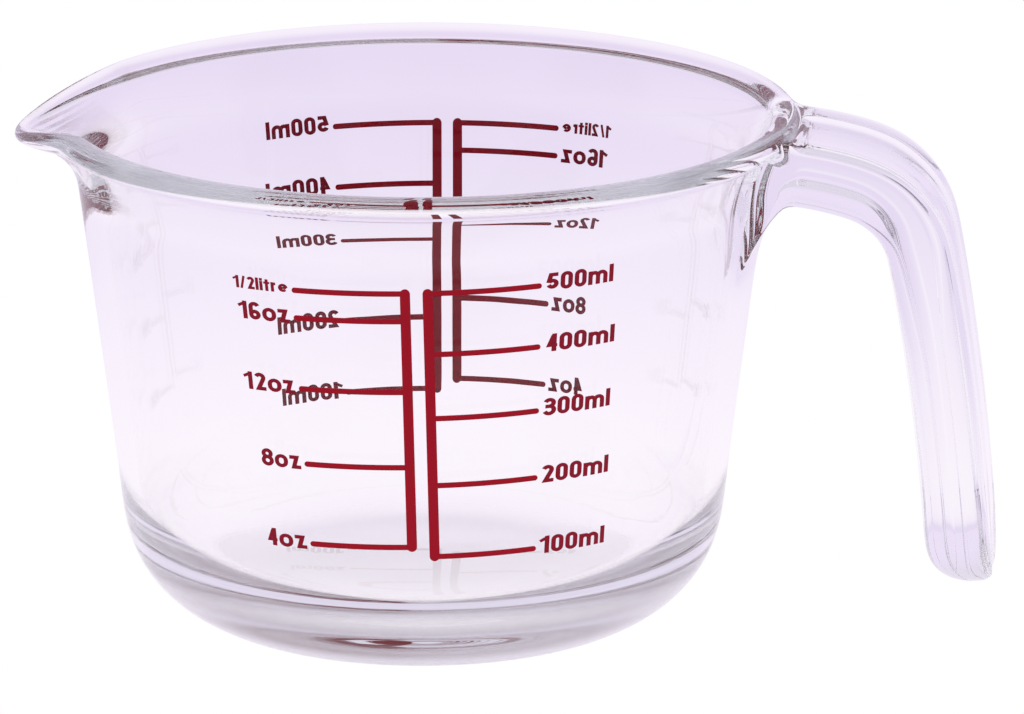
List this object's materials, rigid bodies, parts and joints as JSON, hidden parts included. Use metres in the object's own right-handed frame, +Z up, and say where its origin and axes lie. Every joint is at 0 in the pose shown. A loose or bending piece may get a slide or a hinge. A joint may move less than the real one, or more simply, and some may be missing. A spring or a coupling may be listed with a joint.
{
  "type": "measuring jug",
  "caption": "Clear pressed-glass measuring jug with a flared round bowl, rolled rim, pouring spout, open strap handle and a red printed scale on front and back.",
  "frame": {"origin": "the bowl's axis at the table, on the level foot under the base", "axes": "+Z up along the bowl's axis, +X towards the handle, the spout along -X, the front scale faces -Y"},
  "size_m": [0.17, 0.1292, 0.0895],
  "materials": {
    "clear_glass": "fire-polished pressed glass",
    "red_enamel": "fired screen-printed enamel, satin"
  },
  "bodies": {
    "root": {"bowl": "clear_glass", "handle": "clear_glass", "front_ml_ladder": "red_enamel", "front_oz_ladder": "red_enamel", "back_ml_ladder": "red_enamel", "back_oz_ladder": "red_enamel", "front_label_100ml": "red_enamel", "front_label_200ml": "red_enamel", "front_label_300ml": "red_enamel", "front_label_400ml": "red_enamel", "front_label_500ml": "red_enamel", "front_label_4oz": "red_enamel", "front_label_8oz": "red_enamel", "front_label_12oz": "red_enamel", "front_label_16oz": "red_enamel", "front_label_half_litre": "red_enamel", "back_label_100ml": "red_enamel", "back_label_200ml": "red_enamel", "back_label_300ml": "red_enamel", "back_label_400ml": "red_enamel", "back_label_500ml": "red_enamel", "back_label_4oz": "red_enamel", "back_label_8oz": "red_enamel", "back_label_12oz": "red_enamel", "back_label_16oz": "red_enamel", "back_label_half_litre": "red_enamel"}
  },
  "joints": []
}
